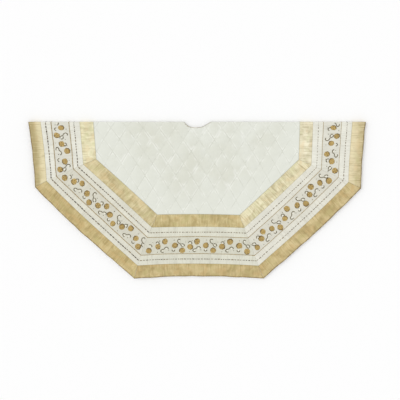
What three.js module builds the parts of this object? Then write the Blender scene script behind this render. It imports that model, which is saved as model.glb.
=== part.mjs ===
// Octagonal quilted tree skirt, folded in half along its midline.
//
// The skirt is a flat octagon of face fabric, batting and lining, with a trunk
// opening in the middle and one slit from the opening to the back edge. It is
// folded along the line through the opening: the front half lies face up on top,
// and the back half, in two flaps divided by the slit, lies face down under it.
// Each flap swings about the fold line, and opened through 180 degrees it lies
// level with the front half and completes the octagon.
//
// Millimetres. +Z is up, +X runs along the fold, and the front edge is at -Y.
// The origin is the middle of the folded skirt's underside.
//
// Every piece is drawn in the skirt's flat layout:
//   u  along the fold line,
//   v  across it (negative on the front half, positive on the back half),
//   w  from the lining's outer face (0) to the face fabric's outer face (6).

import * as THREE from 'three';

// ---------------------------------------------------------------- dimensions

const WIDTH_ACROSS_FLATS = 1372;             // open octagon, edge to opposite edge
const APOTHEM = WIDTH_ACROSS_FLATS / 2;

// Distance from the centre to each seam between the rings of the face.
const OUTER_BORDER_INNER = 633;             // 53 mm gold border
const EMBROIDERED_BAND_INNER = 474;         // 159 mm ivory band
const INNER_BORDER_INNER = 419;             // 55 mm gold border
const LINING_INSET = 0.5;                    // the face rolls just past the lining
const BATTING_INSET = 3;                     // the batting stops short of every seam

const SEAM_GAP = 0.3;                        // between neighbouring pieces
const HALF_GAP = SEAM_GAP / 2;

// Layers, measured from the lining's outer face.
const LINING_W = [0, 0.8];
const BATTING_W = [1.1, 4.1];
const FACE_W = [4.4, 6.0];
const FACING_W = [4.4, 5.0];
const LOOP_PATCH_W = [5.3, 6.0];
const HOOK_PATCH_W = [-1.5, -0.3];
const SKIRT_THICKNESS = FACE_W[1];
const FOLD_CLEARANCE = 2;                    // between the two linings when folded

// Slit and closure.
const FACING_WIDTH = 32;                     // plain underlap along the left flap's slit edge
const FACING_START = 30.7;                   // from the fold line, just past the trunk opening
const PATCH_SIZE = 25;
const PATCH_V = [110, 330, 590];             // patch centres, from the fold line

// Half of the trunk opening's edge, from its left end on the fold line to its right end.
const TRUNK_EDGE = [
  [-60, 0], [-57.5, 5], [-54, 10.5], [-50, 16], [-46, 20.3], [-40, 25], [-30, 28.3],
  [-14, 30], [6, 29], [18, 25], [51.5, 0],
];
const TRUNK_HALF_WIDTH = 56;

// The folded skirt's place: its fold line is parallel to X.
const FOLD_Y = APOTHEM / 2 + HALF_GAP / 2;
const BACK_Z = SKIRT_THICKNESS;                    // the flaps' lining side
const FRONT_Z = SKIRT_THICKNESS + FOLD_CLEARANCE;  // the front half's lining side

const TAN = Math.tan(Math.PI / 8);

// ---------------------------------------------------------------- materials

const quiltedSatin = new THREE.MeshStandardMaterial({ color: 0xe3e4d9, roughness: 0.55, metalness: 0.0 });
const goldSatin = new THREE.MeshStandardMaterial({ color: 0xc8b684, roughness: 0.42, metalness: 0.1 });
const embroideredFabric = new THREE.MeshStandardMaterial({ color: 0xe2e2d3, roughness: 0.65, metalness: 0.0 });
const battingFill = new THREE.MeshStandardMaterial({ color: 0xf1f1ec, roughness: 0.95, metalness: 0.0 });
const liningFabric = new THREE.MeshStandardMaterial({ color: 0xe8e4d6, roughness: 0.7, metalness: 0.0 });
const fastenerTape = new THREE.MeshStandardMaterial({ color: 0xe4dfce, roughness: 0.9, metalness: 0.0 });

// ---------------------------------------------------------------- helpers

// Keeps the part of a convex polygon where nu*u + nv*v <= limit.
function clip(polygon, nu, nv, limit) {
  const kept = [];
  for (let i = 0; i < polygon.length; i++) {
    const p = polygon[i];
    const q = polygon[(i + 1) % polygon.length];
    const dp = nu * p[0] + nv * p[1] - limit;
    const dq = nu * q[0] + nv * q[1] - limit;
    if (dp <= 0) kept.push(p);
    if ((dp < 0 && dq > 0) || (dp > 0 && dq < 0)) {
      const t = dp / (dp - dq);
      kept.push([p[0] + (q[0] - p[0]) * t, p[1] + (q[1] - p[1]) * t]);
    }
  }
  return kept;
}

function clipAll(polygon, planes) {
  return planes.reduce((poly, [nu, nv, limit]) => clip(poly, nu, nv, limit), polygon);
}

const square = (r) => [[-r, -r], [r, -r], [r, r], [-r, r]];

const octagon = (apothem) => {
  const planes = [];
  for (let k = 0; k < 8; k++) {
    const angle = (k * Math.PI) / 4;
    planes.push([Math.cos(angle), Math.sin(angle), apothem]);
  }
  return clipAll(square(2 * apothem), planes);
};

// One mitred length of a ring, on the side whose outward direction is at angle k * 45 degrees.
function ringSide(k, inner, outer, outerIsEdge, extraPlanes) {
  const angle = (k * Math.PI) / 4;
  const nu = Math.cos(angle);
  const nv = Math.sin(angle);
  const mitre = (side) => {
    const m = angle + side * (Math.PI / 8 + Math.PI / 2);
    return [Math.cos(m), Math.sin(m), -HALF_GAP];
  };
  return clipAll(square(2 * outer), [
    [nu, nv, outer - (outerIsEdge ? 0 : HALF_GAP)],
    [-nu, -nv, -(inner + HALF_GAP)],
    mitre(1),
    mitre(-1),
    ...extraPlanes,
  ]);
}

// The planes that bound each body in the flat layout.
const FRONT_HALF = [[0, 1, -HALF_GAP]];
const LEFT_FLAP = [[0, -1, -HALF_GAP], [1, 0, -HALF_GAP]];
const RIGHT_FLAP = [[0, -1, -HALF_GAP], [-1, 0, -HALF_GAP]];
const LEFT_OF_FACING = [[0, -1, -HALF_GAP], [1, 0, -(FACING_WIDTH + HALF_GAP)]];

// The trunk opening's edge on one half, grown by a margin into the fabric.
function trunkEdge(margin, sign) {
  return TRUNK_EDGE.map(([u, v], i) => {
    const scaleU = (TRUNK_HALF_WIDTH + margin) / TRUNK_HALF_WIDTH;
    const end = i === 0 || i === TRUNK_EDGE.length - 1;
    return [u * scaleU, sign * (end ? HALF_GAP : v + margin)];
  });
}

function halfWithNotch(apothem, side, margin, slit) {
  const sign = side === 'front' ? -1 : 1;
  const edge = trunkEdge(margin, sign);
  const keepU = { front: () => true, left: (u) => u < -slit, right: (u) => u > slit }[side];
  const planes = { front: FRONT_HALF, left: [[0, -1, -HALF_GAP], [1, 0, -slit]], right: [[0, -1, -HALF_GAP], [-1, 0, -slit]] }[side];
  const outline = clipAll(octagon(apothem), planes);

  // The slit meets the opening where its edge crosses the slit line.
  const crossing = (u0) => {
    for (let i = 0; i + 1 < edge.length; i++) {
      const [a, b] = [edge[i], edge[i + 1]];
      if (a[0] <= u0 && b[0] >= u0) return a[1] + ((b[1] - a[1]) * (u0 - a[0])) / (b[0] - a[0]);
    }
    throw new Error('slit outside the opening');
  };

  const shape = new THREE.Shape();
  if (side === 'front') {
    // Outer outline from the right end of the fold line round to its left end.
    const outer = outline.filter(([, v]) => v < -HALF_GAP - 1e-6);
    outer.sort((p, q) => Math.atan2(q[1], q[0]) - Math.atan2(p[1], p[0]));
    shape.moveTo(apothem, -HALF_GAP);
    outer.forEach(([u, v]) => shape.lineTo(u, v));
    shape.lineTo(-apothem, -HALF_GAP);
    edge.forEach(([u, v]) => shape.lineTo(u, v));
  } else {
    const s = side === 'left' ? -1 : 1;
    const outer = outline.filter(([, v]) => v > HALF_GAP + 1e-6);
    outer.sort((p, q) => Math.atan2(p[1], s * p[0]) - Math.atan2(q[1], s * q[0]));
    shape.moveTo(s * apothem, HALF_GAP);
    outer.forEach(([u, v]) => shape.lineTo(u, v));
    shape.lineTo(s * slit, crossing(s * slit));
    const rim = edge.filter(([u]) => keepU(u));
    if (side === 'left') rim.reverse();
    rim.forEach(([u, v]) => shape.lineTo(u, v));
  }
  return shape;
}

function shapeOf(polygon) {
  const shape = new THREE.Shape();
  polygon.forEach(([u, v], i) => (i === 0 ? shape.moveTo(u, v) : shape.lineTo(u, v)));
  return shape;
}

function slab(name, shape, [w0, w1], material) {
  const geometry = new THREE.ExtrudeGeometry(shape, { depth: w1 - w0, bevelEnabled: false });
  const mesh = new THREE.Mesh(geometry, material);
  mesh.name = name;
  mesh.position.z = w0;
  return mesh;
}

const rect = (u0, u1, v0, v1) => shapeOf([[u0, v0], [u1, v0], [u1, v1], [u0, v1]]);

// ---------------------------------------------------------------- assembly

const skirt = new THREE.Group();

// The front half, face up.
const front = new THREE.Group();
front.position.set(0, FOLD_Y, FRONT_Z);
skirt.add(front);

// The back half, turned over about the fold so that it lies face down.
const back = new THREE.Group();
back.rotation.x = Math.PI;
back.position.set(0, FOLD_Y, BACK_Z);
skirt.add(back);

const RINGS = [
  ['outer_border', OUTER_BORDER_INNER, APOTHEM, true, goldSatin],
  ['embroidered_band', EMBROIDERED_BAND_INNER, OUTER_BORDER_INNER, false, embroideredFabric],
  ['inner_border', INNER_BORDER_INNER, EMBROIDERED_BAND_INNER, false, goldSatin],
];

// Octagon sides by outward direction: 0 is +u, 2 is +v, 4 is -u, 6 is -v.
const FRONT_SIDES = [[4, 'left_end'], [5, 'front_left'], [6, 'front'], [7, 'front_right'], [0, 'right_end']];
const LEFT_SIDES = [[4, 'left_end'], [3, 'back_left'], [2, 'back']];
const RIGHT_SIDES = [[0, 'right_end'], [1, 'back_right'], [2, 'back']];

for (const [ring, inner, outer, isEdge, material] of RINGS) {
  for (const [k, place] of FRONT_SIDES) {
    front.add(slab(`${ring}_${place}_of_front_half`, shapeOf(ringSide(k, inner, outer, isEdge, FRONT_HALF)), FACE_W, material));
  }
  for (const [k, place] of LEFT_SIDES) {
    back.add(slab(`${ring}_${place}_of_left_flap`, shapeOf(ringSide(k, inner, outer, isEdge, LEFT_OF_FACING)), FACE_W, material));
  }
  for (const [k, place] of RIGHT_SIDES) {
    back.add(slab(`${ring}_${place}_of_right_flap`, shapeOf(ringSide(k, inner, outer, isEdge, RIGHT_FLAP)), FACE_W, material));
  }
}

const CENTER = INNER_BORDER_INNER - HALF_GAP;
front.add(slab('quilted_center_of_front_half', halfWithNotch(CENTER, 'front', 0, 0), FACE_W, quiltedSatin));
back.add(slab('quilted_center_of_left_flap', halfWithNotch(CENTER, 'left', 0, FACING_WIDTH + HALF_GAP), FACE_W, quiltedSatin));
back.add(slab('quilted_center_of_right_flap', halfWithNotch(CENTER, 'right', 0, HALF_GAP), FACE_W, quiltedSatin));

const BATTING = APOTHEM - BATTING_INSET;
front.add(slab('batting_of_front_half', halfWithNotch(BATTING, 'front', BATTING_INSET, 0), BATTING_W, battingFill));
back.add(slab('batting_of_left_flap', halfWithNotch(BATTING, 'left', BATTING_INSET, BATTING_INSET), BATTING_W, battingFill));
back.add(slab('batting_of_right_flap', halfWithNotch(BATTING, 'right', BATTING_INSET, BATTING_INSET), BATTING_W, battingFill));

const LINING = APOTHEM - LINING_INSET;
front.add(slab('lining_of_front_half', halfWithNotch(LINING, 'front', LINING_INSET, 0), LINING_W, liningFabric));
back.add(slab('lining_of_left_flap', halfWithNotch(LINING, 'left', LINING_INSET, HALF_GAP), LINING_W, liningFabric));
back.add(slab('lining_of_right_flap', halfWithNotch(LINING, 'right', LINING_INSET, HALF_GAP), LINING_W, liningFabric));

// The closure: a plain underlap with loop patches on the left flap, and hook
// patches on the lining side of the right flap that close down onto them.
back.add(slab('slit_underlap_of_left_flap', rect(-FACING_WIDTH + HALF_GAP, -HALF_GAP, FACING_START, APOTHEM - 0.5), FACING_W, liningFabric));
const PATCH_NAMES = ['near_trunk', 'middle', 'near_edge'];
PATCH_V.forEach((v, i) => {
  const half = PATCH_SIZE / 2;
  const u = FACING_WIDTH / 2;
  back.add(slab(`loop_patch_${PATCH_NAMES[i]}`, rect(-u - half, -u + half, v - half, v + half), LOOP_PATCH_W, fastenerTape));
  back.add(slab(`hook_patch_${PATCH_NAMES[i]}`, rect(u - half, u + half, v - half, v + half), HOOK_PATCH_W, fastenerTape));
});

export default skirt;
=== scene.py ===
# Octagonal quilted tree skirt, folded in half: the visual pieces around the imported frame.
import math
import time

import bmesh
import bpy
import numpy as np
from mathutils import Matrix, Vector


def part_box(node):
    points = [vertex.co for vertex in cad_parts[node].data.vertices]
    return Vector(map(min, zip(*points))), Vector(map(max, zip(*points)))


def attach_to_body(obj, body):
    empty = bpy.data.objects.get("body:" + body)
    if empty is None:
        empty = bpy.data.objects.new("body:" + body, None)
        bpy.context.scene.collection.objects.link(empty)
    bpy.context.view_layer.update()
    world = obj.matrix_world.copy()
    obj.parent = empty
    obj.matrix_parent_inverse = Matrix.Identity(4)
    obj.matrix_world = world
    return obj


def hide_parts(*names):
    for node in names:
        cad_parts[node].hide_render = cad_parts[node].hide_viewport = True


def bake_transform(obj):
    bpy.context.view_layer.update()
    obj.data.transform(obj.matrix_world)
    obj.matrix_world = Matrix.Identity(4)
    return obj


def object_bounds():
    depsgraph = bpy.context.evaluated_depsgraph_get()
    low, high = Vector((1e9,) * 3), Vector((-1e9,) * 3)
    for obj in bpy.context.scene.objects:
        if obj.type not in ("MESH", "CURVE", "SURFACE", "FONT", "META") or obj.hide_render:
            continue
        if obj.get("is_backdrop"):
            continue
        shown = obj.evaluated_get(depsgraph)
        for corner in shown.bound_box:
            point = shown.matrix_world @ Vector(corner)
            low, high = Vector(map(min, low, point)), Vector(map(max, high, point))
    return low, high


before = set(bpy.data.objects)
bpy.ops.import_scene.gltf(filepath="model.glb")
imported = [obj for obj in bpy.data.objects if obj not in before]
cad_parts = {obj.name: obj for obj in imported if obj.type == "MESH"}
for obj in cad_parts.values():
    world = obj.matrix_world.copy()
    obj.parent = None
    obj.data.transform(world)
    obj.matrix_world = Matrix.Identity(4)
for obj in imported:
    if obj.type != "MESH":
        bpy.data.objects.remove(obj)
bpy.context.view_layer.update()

T0 = time.time()


def log(what):
    print(f"scene: {what} {time.time() - T0:.1f} s", flush=True)


# ------------------------------------------------------------------ frame facts (metres)
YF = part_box("lining_of_front_half")[1].y + 0.00015      # the fold line
FRONT_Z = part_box("lining_of_front_half")[0].z           # front half's lining side
BACK_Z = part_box("lining_of_left_flap")[1].z             # flaps' lining side
AXIS_Z = (FRONT_Z + BACK_Z) / 2
AP = -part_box("outer_border_left_end_of_front_half")[0].x        # 0.686
BAND_OUT = 0.633
BAND_IN = 0.474
INNER_IN = 0.419
TAN = math.tan(math.pi / 8)
COS = math.cos(math.pi / 8)
GAP = 0.00015
FACING = 0.03215
WRAP = 0.0165            # length of face fabric that turns round the fold
WRAP_B = 0.0005          # how far the fold bulges past the fold line
PULL = 0.0018            # how far the fold is drawn in by its own thickness
CLOTH = 0.0009           # thickness of the face fabric
TRUNK = np.array([[-60, 0], [-57.5, 5], [-54, 10.5], [-50, 16], [-46, 20.3], [-40, 25], [-30, 28.3],
                  [-14, 30], [6, 29], [18, 25], [51.5, 0]]) / 1000.0

rng = np.random.default_rng(11)

# ------------------------------------------------------------------ how the cloth lies
XU = [0.00719198, -0.015302169, -0.013890203, 0.048899298, 0.014984654, -0.024425947, 0.007313838, -0.028576904, -0.173665525, -0.334084636, -0.203595541, -0.038706686, -0.014809867, 0.01493752, -0.041849463, -0.01282361, 0.055507715, 0.126124, 0.028429762, 0.02256226, 0.009191862]
XV = [-0.089169363, -0.100069456, -0.002830961, 0.072142329, 0.062759875, 0.009269329, 0.03391653, 0.061221367, 0.038515514, -0.085334069, -0.359699295, -0.208309924, 0.006510719, 0.015354331, 0.012020996]


def lay(u, v):
    """In-plane shift of the cloth of the front half, v <= 0."""
    a, b = u / 0.686, v / 0.686
    du, dv = np.zeros_like(a), np.zeros_like(a)
    nu = nv = 0
    for i in range(6):
        for j in range(6 - i):
            t = a ** i * b ** j
            du += XU[nu] * t
            nu += 1
            if j:
                dv += XV[nv] * t
                nv += 1
    return du, dv


def smooth(x):
    x = np.clip(x, 0, 1)
    return x * x * (3 - 2 * x)


WAVES = [(4.1, 2.3, 0.4), (-2.2, 5.1, 1.9), (7.3, -1.4, 3.0), (1.3, 8.2, 0.7), (-6.4, -6.1, 4.4), (10.5, 4.0, 2.2), (3.0, -12.0, 5.1)]


def lift(u, v):
    """Gentle rise and fall of the front half over the one below, none at the fold."""
    s = sum(np.sin(2 * math.pi * (fx * u + fy * v) * 0.42 + ph) for fx, fy, ph in WAVES) / len(WAVES)
    return 0.0022 * smooth(-v / 0.14) * (0.5 + 0.9 * s)


def hem_wave(u, v):
    """Small in-plane waviness of the outer border."""
    r = np.maximum.reduce([u * math.cos(k * math.pi / 4) + v * math.sin(k * math.pi / 4) for k in range(8)])
    a = np.arctan2(v, u)
    w = np.sin(37 * a + 1.0) * 0.5 + np.sin(61 * a + 2.0) * 0.3 + np.sin(23 * a) * 0.4
    return 0.0011 * w * smooth((r - 0.640) / 0.046) * smooth(np.abs(v) / 0.04), a


def place(body, u, v, w):
    """Flat layout to the folded skirt. u along the fold, v across it, w from the lining's outer face."""
    u, v, w = (np.asarray(x, float) for x in (u, v, w))
    yf = YF - PULL * np.exp(-np.abs(v if body == "front_half" else np.maximum(v, 0)) / 0.02)
    if body == "front_half":
        du, dv = lay(u, v)
        h, a = hem_wave(u, v)
        return np.stack([u + du + h * np.cos(a), yf + v + dv + h * np.sin(a), FRONT_Z + w + lift(u, v)], -1)
    vb = np.maximum(v, 0)
    du, dv = lay(u, -vb)
    k = 1 - 0.004 * np.clip(vb / 0.1, 0, 1)
    ub, vv = (u + du) * k, (vb - dv) * k
    phi = math.pi * (1 - np.clip(-v / WRAP, 0, 1))
    r = (AXIS_Z - BACK_Z) + w
    y = np.where(v >= 0, yf - vv, yf + WRAP_B * r / 0.007 * np.sin(phi))
    z = np.where(v >= 0, BACK_Z - w, AXIS_Z + r * np.cos(phi))
    return np.stack([ub, y, z], -1)


# ------------------------------------------------------------------ meshes
def to_object(name, verts, faces, uvs=None, attrs=None, mats=(), sharp=42):
    me = bpy.data.meshes.new(name)
    me.from_pydata(np.asarray(verts, float).tolist(), [], [list(map(int, f)) for f in faces])
    me.update()
    li = np.zeros(len(me.loops), np.int32)
    me.loops.foreach_get("vertex_index", li)
    for key, uv in (uvs or {}).items():
        layer = me.uv_layers.new(name=key)
        layer.data.foreach_set("uv", np.asarray(uv, np.float32)[li].ravel())
    for key, val in (attrs or {}).items():
        at = me.attributes.new(key, "FLOAT", "POINT")
        at.data.foreach_set("value", np.asarray(val, np.float32))
    me.polygons.foreach_set("use_smooth", np.ones(len(me.polygons), bool))
    if sharp:
        me.set_sharp_from_angle(angle=math.radians(sharp))
    ob = bpy.data.objects.new(name, me)
    bpy.context.scene.collection.objects.link(ob)
    for m in mats:
        me.materials.append(m)
    return ob


def boundary_edges(faces):
    seen = {}
    for f in faces:
        for a, b in zip(f, list(f[1:]) + [f[0]]):
            seen[(a, b)] = 1
    return [(a, b) for a, b in seen if (b, a) not in seen]


def slab(name, body, uvw, faces, thick, uvs, attrs, mats):
    """A closed sheet: the top surface uvw, and the same surface thick lower."""
    n = len(uvw)
    t = np.broadcast_to(np.asarray(thick, float), (n,))
    top = place(body, uvw[:, 0], uvw[:, 1], uvw[:, 2])
    bot = place(body, uvw[:, 0], uvw[:, 1], uvw[:, 2] - t)
    fs = [list(f) for f in faces]
    edges = boundary_edges(fs)
    fs += [[i + n for i in reversed(f)] for f in faces]
    fs += [[b, a, a + n, b + n] for a, b in edges]
    return to_object(name, np.r_[top, bot], fs,
                     {k: np.r_[x, x] for k, x in uvs.items()},
                     {k: np.r_[x, x] for k, x in attrs.items()}, mats)


# ------------------------------------------------------------------ cloth simulation
def simulate(verts, faces, pins, pressure, shrink, frames=16, tension=8, bend=0.05):
    """Blender's cloth on a pinned, flat piece with gravity off. Returns the points."""
    me = bpy.data.meshes.new("sim")
    me.from_pydata(verts.tolist(), [], faces.tolist())
    ob = bpy.data.objects.new("sim", me)
    scene = bpy.context.scene
    scene.collection.objects.link(ob)
    g = ob.vertex_groups.new(name="pin")
    g.add([int(i) for i in np.nonzero(pins)[0]], 1.0, "REPLACE")
    m = ob.modifiers.new("cloth", "CLOTH")
    s = m.settings
    s.vertex_group_mass = "pin"
    s.quality, s.mass = 4, 0.01
    s.tension_stiffness = s.compression_stiffness = tension
    s.shear_stiffness, s.bending_stiffness = tension * 0.4, bend
    s.tension_damping = s.compression_damping = s.shear_damping = 5
    s.air_damping = 2
    s.use_pressure, s.uniform_pressure_force = True, pressure
    s.shrink_min = s.shrink_max = shrink
    s.effector_weights.gravity = 0
    m.collision_settings.use_collision = False
    m.collision_settings.use_self_collision = False
    m.point_cache.frame_start, m.point_cache.frame_end = 1, frames + 1
    for f in range(1, frames + 1):
        scene.frame_set(f)
    e = ob.evaluated_get(bpy.context.evaluated_depsgraph_get())
    mm = e.to_mesh()
    co = np.zeros(len(mm.vertices) * 3, np.float32)
    mm.vertices.foreach_get("co", co)
    e.to_mesh_clear()
    bpy.data.objects.remove(ob)
    scene.frame_set(1)
    return co.reshape(-1, 3).astype(float)


# Quilting: two families of stitch lines, A and B are whole numbers on them.
PITCH, SLOPE = 0.0635, 0.585


def quilt_ab(u, v):
    return (u + SLOPE * v - 0.0130) / PITCH, (u - SLOPE * v - 0.0470) / PITCH


def quilt_uv(a, b):
    return PITCH * (a + b) / 2 + 0.030, (PITCH * (a - b) - 0.034) / (2 * SLOPE)


SUB = 12
VPERIOD = PITCH / SLOPE
A0, B0, NAB = -12, -9, 20


def quilt_field():
    """Height of the quilted face between its stitch lines, from a cloth simulation with pressure."""
    n = NAB * SUB + 1
    ia, ib = np.meshgrid(np.arange(n), np.arange(n), indexing="ij")
    a, b = A0 + ia / SUB, B0 + ib / SUB
    u, v = quilt_uv(a, b)
    fa, fb = a - np.floor(a), b - np.floor(b)
    analytic = 0.0024 * (np.clip(np.sin(math.pi * fa) * np.sin(math.pi * fb), 0, 1)) ** 0.42
    inside = (u > -0.47) & (u < 0.47) & (v > -0.50) & (v < 0.05)
    cell = np.zeros((NAB, NAB), bool)
    for i in range(NAB):
        for j in range(NAB):
            cell[i, j] = inside[i * SUB:(i + 1) * SUB + 1, j * SUB:(j + 1) * SUB + 1].any()
    use = np.repeat(np.repeat(cell, SUB, 0), SUB, 1)
    i, j = np.nonzero(use)
    q = i * n + j
    f = np.stack([q, q + 1, q + n + 1, q + n], 1)
    ids, inv = np.unique(f, return_inverse=True)
    r = np.random.default_rng(5)
    pts = np.stack([u.ravel()[ids], v.ravel()[ids], r.normal(0, 2.5e-5, len(ids))], 1)
    pins = ((ia.ravel()[ids] % SUB == 0) | (ib.ravel()[ids] % SUB == 0))
    co = simulate(pts, inv.reshape(-1, 4), pins, 12.0, -0.022, frames=16)
    z = np.clip(co[:, 2], -0.0006, 0.006)
    z *= 0.0023 / np.percentile(z, 92)
    z = np.minimum(z, 0.0029)
    h = analytic.copy().ravel()
    h[ids] = z
    return h.reshape(n, n)


def bilinear(grid, x, y):
    x = np.clip(x, 0, grid.shape[0] - 1.001)
    y = np.clip(y, 0, grid.shape[1] - 1.001)
    i, j = x.astype(int), y.astype(int)
    fx, fy = x - i, y - j
    return (grid[i, j] * (1 - fx) * (1 - fy) + grid[i + 1, j] * fx * (1 - fy)
            + grid[i, j + 1] * (1 - fx) * fy + grid[i + 1, j + 1] * fx * fy)


def strip_field(width, cell, length, held, pressure, shrink, seed, top):
    """Wrinkles of a long strip held along its seams and at its lines of stitching, from a cloth simulation."""
    nd, ns = max(8, round(width / cell)), round(length / cell)
    s, d = np.meshgrid(np.arange(ns + 1) * length / ns, np.arange(nd + 1) * width / nd, indexing="ij")
    r = np.random.default_rng(seed)
    pts = np.stack([s.ravel(), d.ravel(), r.normal(0, 6e-5, s.size)], 1)
    i, j = np.meshgrid(np.arange(ns), np.arange(nd), indexing="ij")
    q = (i * (nd + 1) + j).ravel()
    f = np.stack([q, q + nd + 1, q + nd + 2, q + 1], 1)
    pins = np.zeros(s.shape, bool)
    pins[:, [0, -1]] = True
    pins[[0, -1], :] = True
    for x in held:
        pins[::2, int(round(x / width * nd))] = True
    co = simulate(pts, f, pins.ravel(), pressure, shrink, frames=14)
    z = co[:, 2].reshape(s.shape)
    z = np.clip(z, -0.0010, 0.004)
    return z * (top / np.percentile(z, 95))


QH = quilt_field()
log("quilt simulated")
GOLDH = strip_field(0.054, 0.0042, 2.6, [], 6.0, -0.020, 3, 0.0009)
BANDH = strip_field(0.159, 0.0055, 2.4, [0.023, 0.043, 0.1165, 0.139], 6.0, -0.016, 4, 0.0008)
log("strips simulated")


def quilt_h(u, v):
    """Quilt height at (u, v) of the flat layout; behind the fold it is the same cloth, whole repeats away."""
    v = np.where(v > 0, v - 4 * VPERIOD, v)
    a, b = quilt_ab(u, v)
    return bilinear(QH, (a - A0) * SUB, (b - B0) * SUB) * (0.80 + 0.20 * np.sin(9.0 * u + 1.0) * np.cos(11.0 * v + 0.4))


SEAM_W = 0.0045
HEM_W = 0.0016
WINDOW = {}


def window(key, length, total):
    if key not in WINDOW:
        r = np.random.default_rng(100 + len(WINDOW))
        WINDOW[key] = 0.02 + r.random() * (total - length - 0.04)
    return WINDOW[key]


def rounded(x, r):
    x = 1 - np.clip(x / r, 0, 1)
    return np.sqrt(np.clip(1 - x * x, 0, 1))


RINGS = {"outer_border": (BAND_OUT, AP), "embroidered_band": (BAND_IN, BAND_OUT), "inner_border": (INNER_IN, BAND_IN)}


def ring_w(ring, body, k, s, d):
    """Height of the face fabric of a ring strip, without its end seams."""
    d0, d1 = RINGS[ring]
    f = (d - d0) / (d1 - d0)
    grid, cell = (BANDH, 2.4 / (BANDH.shape[0] - 1)) if ring == "embroidered_band" else (GOLDH, 2.6 / (GOLDH.shape[0] - 1))
    off = window((ring, body, k), 0.60, 2.4)
    h = bilinear(grid, (s + 0.30 + off) / cell, f * (grid.shape[1] - 1))
    w = 0.00485 + 0.00035 * np.clip(np.sin(math.pi * np.clip(f, 0, 1)), 0, 1) ** 0.5 + h
    w = SEAM_W + (w - SEAM_W) * rounded(d - d0, 0.0022)
    if ring == "outer_border":
        w = HEM_W + (w - HEM_W) * rounded(d1 - d, 0.0050)
    else:
        w = SEAM_W + (w - SEAM_W) * rounded(d1 - d, 0.0022)
    return w


def axes(k):
    a = k * math.pi / 4
    n = np.array([math.cos(a), math.sin(a)])
    return n, np.array([-n[1], n[0]])


EDGE = [0.0, 0.0004, 0.0010, 0.0018, 0.0030]


def spaced(length, step, fine0, fine1):
    """Offsets from 0 to length, fine near the ends that ask for it."""
    lo = EDGE[:-1] if fine0 else [0.0]
    hi = EDGE[:-1] if fine1 else [0.0]
    a, b = (EDGE[-1] if fine0 else 0), (length - EDGE[-1] if fine1 else length)
    n = max(2, int(round((b - a) / step)))
    mid = list(np.linspace(a, b, n + 1))
    if not fine0:
        mid = mid[1:]
    if not fine1:
        mid = mid[:-1]
    return lo + mid + [length - x for x in reversed(hi)]


def strip(name, body, ring, k, ends, mats, step=0.0042):
    """One mitred length of a ring. ends: for low and high s, 'mitre', 'fold', 'wrap' or a slit edge's s."""
    n, t = axes(k)
    d0, d1 = RINGS[ring]
    lo, hi = d0 + GAP, d1 - (0 if ring == "outer_border" else GAP)
    ds = lo + np.array(spaced(hi - lo, 0.0040, True, True))

    def end(e, sign):
        if e == "mitre":
            return sign * (ds * TAN - GAP / COS), True
        if e in ("fold", "wrap"):
            return np.zeros_like(ds) + 0.0, False
        return np.zeros_like(ds) + e, True

    (s0, f0), (s1, f1) = end(ends[0], -1), end(ends[1], 1)
    long = float((s1 - s0).max())
    offs = np.array(spaced(long, step, f0, f1))
    nlo, nhi = (len(EDGE) if f0 else 1), (len(EDGE) if f1 else 1)
    m = len(offs)
    fr = (offs - offs[nlo - 1]) / (offs[m - nhi] - offs[nlo - 1])
    S = np.zeros((m, len(ds)))
    for i in range(m):
        if i < nlo:
            S[i] = s0 + offs[i]
        elif i >= m - nhi:
            S[i] = s1 - (long - offs[i])
        else:
            a, b = s0 + offs[nlo - 1], s1 - (long - offs[m - nhi])
            S[i] = a + (b - a) * fr[i]
    D = np.broadcast_to(ds, S.shape).copy()
    wr = np.linspace(0, WRAP, 13)[1:]
    if ends[0] == "wrap":
        S = np.r_[np.repeat(-wr[::-1][:, None], len(ds), 1), S]
        D = np.r_[np.broadcast_to(ds, (12, len(ds))), D]
    if ends[1] == "wrap":
        S = np.r_[S, np.repeat(wr[:, None], len(ds), 1)]
        D = np.r_[D, np.broadcast_to(ds, (12, len(ds)))]
    flat = S.copy()
    if ends[0] == "wrap":
        flat = np.maximum(flat, 0)
    if ends[1] == "wrap":
        flat = np.minimum(flat, 0)
    w = ring_w(ring, body, k, flat, D)
    for e, edge in ((ends[0], s0), (ends[1], s1)):
        if e == "mitre":
            x = np.abs(S - edge[None]) * COS
            low = SEAM_W if ring != "embroidered_band" else w - 0.0003
            w = low + (w - low) * rounded(x, 0.0020 if ring != "embroidered_band" else 0.0009)
        elif not isinstance(e, str):
            w = HEM_W + (w - HEM_W) * rounded(np.abs(S - edge[None]), 0.0040)
    uv = n[None, None] * D[..., None] + t[None, None] * S[..., None]
    dist = np.minimum(D - d0, d1 - D)
    for e, edge in ((ends[0], s0), (ends[1], s1)):
        if e not in ("fold", "wrap"):
            dist = np.minimum(dist, np.abs(S - edge[None]) * COS + (0.0010 if ring == "embroidered_band" else 0))
    N, M = S.shape
    i, j = np.meshgrid(np.arange(N - 1), np.arange(M - 1), indexing="ij")
    q = (i * M + j).ravel()
    faces = np.stack([q, q + 1, q + M + 1, q + M], 1).tolist()
    uvw = np.c_[uv.reshape(-1, 2), w.ravel()]
    seed = 1.7 * k + {"outer_border": 0, "embroidered_band": 20, "inner_border": 40}[ring]
    ob = slab(name, body, uvw, faces, CLOTH,
              {"cloth": np.c_[S.ravel() + seed, D.ravel()]},
              {"edge": np.clip(dist.ravel(), 0, 1)}, mats)
    # flat size: the cut rectangle round the strip, and the strip's own area
    long_at = s1 - s0
    area = float(((long_at[1:] + long_at[:-1]) / 2 * np.diff(ds)).sum()) + (WRAP * (hi - lo) if "wrap" in ends else 0)
    ob["flat_w"], ob["flat_l"], ob["flat_area"] = hi - lo, long + (WRAP if "wrap" in ends else 0), area
    return ob


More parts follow.
